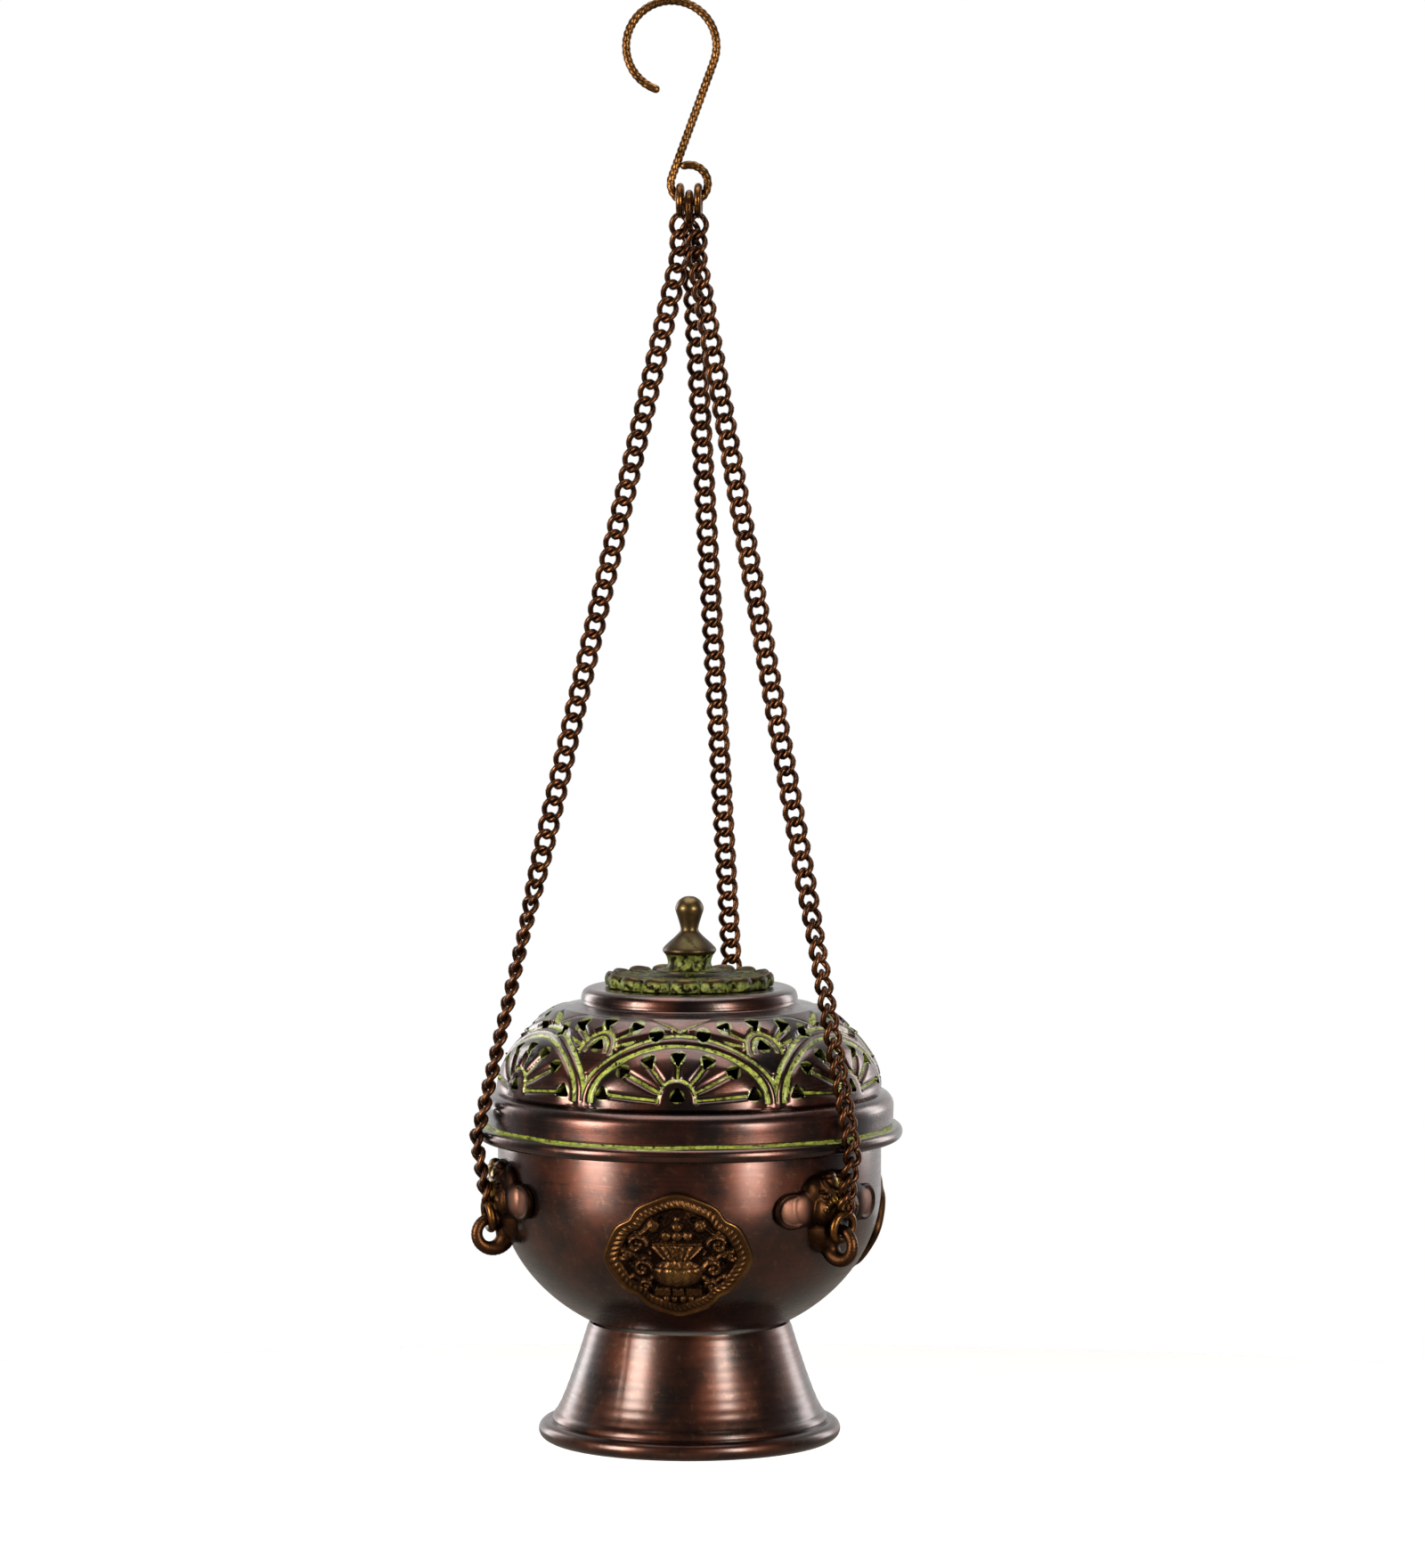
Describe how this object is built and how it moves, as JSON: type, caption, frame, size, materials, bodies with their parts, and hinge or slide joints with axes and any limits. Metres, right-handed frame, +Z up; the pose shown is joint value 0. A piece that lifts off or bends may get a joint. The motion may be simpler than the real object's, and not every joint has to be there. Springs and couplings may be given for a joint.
{
  "type": "thurible censer",
  "caption": "Small hanging incense burner in dark copper: footed bowl, pierced domed lid with a turned finial, medallions and elephant-head lugs, hung by chains from an S-hook.",
  "frame": {"origin": "on the inside of the hook's big loop, straight above the bowl's axis, where the burner hangs", "axes": "+Z up along the bowl's axis, -Y out of the front medallion, +X to the right seen from the front"},
  "size_m": [0.1042, 0.1063, 0.3512],
  "materials": {
    "copper": "dark brown patina, fine turning marks, yellow-green paste in the recesses",
    "chain_copper": "dull brown, rubbed brighter on the outside of the links",
    "green_bronze": "cast, with a greenish patina",
    "hook_bronze": "antique, rubbed",
    "brass": "antique brown, gold on the high spots"
  },
  "bodies": {
    "hook": {"s_hook": "hook_bronze"},
    "top_links": {"top_link_left": "brass", "top_link_right": "brass", "top_link_rear": "brass"},
    "chain_heads": {"chain_head_left": "chain_copper", "chain_head_right": "chain_copper", "chain_head_rear": "chain_copper"},
    "chain_swivels": {"chain_swivel_left": "chain_copper", "chain_swivel_right": "chain_copper", "chain_swivel_rear": "chain_copper"},
    "vessel": {"foot": "copper", "bowl": "copper", "lug_left": "brass", "lug_right": "brass", "lug_rear": "brass", "lug_rivet_left": "brass", "lug_rivet_right": "brass", "lug_rivet_rear": "brass", "medallion_front": "brass", "medallion_right": "brass", "medallion_left": "brass", "medallion_rivet_front": "brass", "medallion_rivet_right": "brass", "medallion_rivet_left": "brass"},
    "lid": {"lid": "copper", "rosette": "green_bronze", "finial": "brass", "finial_washer": "brass", "finial_nut": "brass"},
    "lower_chain_left": {"lug_link_left": "brass", "chain_lower_left": "chain_copper"},
    "middle_chain_left": {"chain_middle_left": "chain_copper"},
    "upper_chain_left": {"chain_upper_left": "chain_copper"},
    "lower_chain_right": {"lug_link_right": "brass", "chain_lower_right": "chain_copper"},
    "middle_chain_right": {"chain_middle_right": "chain_copper"},
    "upper_chain_right": {"chain_upper_right": "chain_copper"},
    "lower_chain_rear": {"lug_link_rear": "brass", "chain_lower_rear": "chain_copper"},
    "middle_chain_rear": {"chain_middle_rear": "chain_copper"},
    "upper_chain_rear": {"chain_upper_rear": "chain_copper"}
  },
  "joints": [
    {"name": "side_swing", "type": "hinge", "parent": "hook", "child": "top_links", "pos_m": [0, 0, -0.04218], "axis": [0, 1, 0], "range_deg": [-30, 30]},
    {"name": "fore_aft_swing", "type": "hinge", "parent": "top_links", "child": "chain_heads", "pos_m": [0, 0, -0.0462], "axis": [1, 0, 0], "range_deg": [-45, 45]},
    {"name": "twist", "type": "hinge", "parent": "chain_heads", "child": "chain_swivels", "pos_m": [0, 0, -0.05908], "axis": [0, 0, 1], "range_deg": [-45, 45]},
    {"name": "vessel_rise", "type": "slide", "parent": "chain_swivels", "child": "vessel", "axis": [0, 0, 1], "range_m": [0, 0.00669]},
    {"name": "lid_lift", "type": "slide", "parent": "vessel", "child": "lid", "axis": [0, 0, 1], "range_m": [0, 0.045]},
    {"name": "lower_bend_left", "type": "hinge", "parent": "vessel", "child": "lower_chain_left", "pos_m": [-0.04708, -0.01714, -0.29608], "axis": [0.342, -0.9397, 0], "range_deg": [0, 26.77]},
    {"name": "middle_bend_left", "type": "hinge", "parent": "lower_chain_left", "child": "middle_chain_left", "pos_m": [-0.05059, -0.01841, -0.27308], "axis": [0.342, -0.9397, 0], "range_deg": [-24.25, 0]},
    {"name": "upper_bend_left", "type": "hinge", "parent": "chain_swivels", "child": "upper_chain_left", "pos_m": [-0.00207, -0.00075, -0.05908], "axis": [0.342, -0.9397, 0], "range_deg": [-4.71, 0]},
    {"name": "lower_bend_right", "type": "hinge", "parent": "vessel", "child": "lower_chain_right", "pos_m": [0.03838, -0.0322, -0.29608], "axis": [0.6428, 0.766, 0], "range_deg": [0, 26.77]},
    {"name": "middle_bend_right", "type": "hinge", "parent": "lower_chain_right", "child": "middle_chain_right", "pos_m": [0.04124, -0.03461, -0.27308], "axis": [0.6428, 0.766, 0], "range_deg": [-24.25, 0]},
    {"name": "upper_bend_right", "type": "hinge", "parent": "chain_swivels", "child": "upper_chain_right", "pos_m": [0.00169, -0.00141, -0.05908], "axis": [0.6428, 0.766, 0], "range_deg": [-4.71, 0]},
    {"name": "lower_bend_rear", "type": "hinge", "parent": "vessel", "child": "lower_chain_rear", "pos_m": [0.0087, 0.04934, -0.29608], "axis": [-0.9848, 0.1736, 0], "range_deg": [0, 26.77]},
    {"name": "middle_bend_rear", "type": "hinge", "parent": "lower_chain_rear", "child": "middle_chain_rear", "pos_m": [0.00935, 0.05302, -0.27308], "axis": [-0.9848, 0.1736, 0], "range_deg": [-24.25, 0]},
    {"name": "upper_bend_rear", "type": "hinge", "parent": "chain_swivels", "child": "upper_chain_rear", "pos_m": [0.00038, 0.00217, -0.05908], "axis": [-0.9848, 0.1736, 0], "range_deg": [-4.71, 0]}
  ],
  "couplings": [
    {"joint": "vessel_rise", "follows": "lid_lift", "ratio": 0.14867},
    {"joint": "lower_bend_left", "follows": "lid_lift", "rad_per_m": 10.383},
    {"joint": "middle_bend_left", "follows": "lid_lift", "rad_per_m": -9.4037},
    {"joint": "upper_bend_left", "follows": "lid_lift", "rad_per_m": -1.8279},
    {"joint": "lower_bend_right", "follows": "lid_lift", "rad_per_m": 10.383},
    {"joint": "middle_bend_right", "follows": "lid_lift", "rad_per_m": -9.4037},
    {"joint": "upper_bend_right", "follows": "lid_lift", "rad_per_m": -1.8279},
    {"joint": "lower_bend_rear", "follows": "lid_lift", "rad_per_m": 10.383},
    {"joint": "middle_bend_rear", "follows": "lid_lift", "rad_per_m": -9.4037},
    {"joint": "upper_bend_rear", "follows": "lid_lift", "rad_per_m": -1.8279}
  ]
}
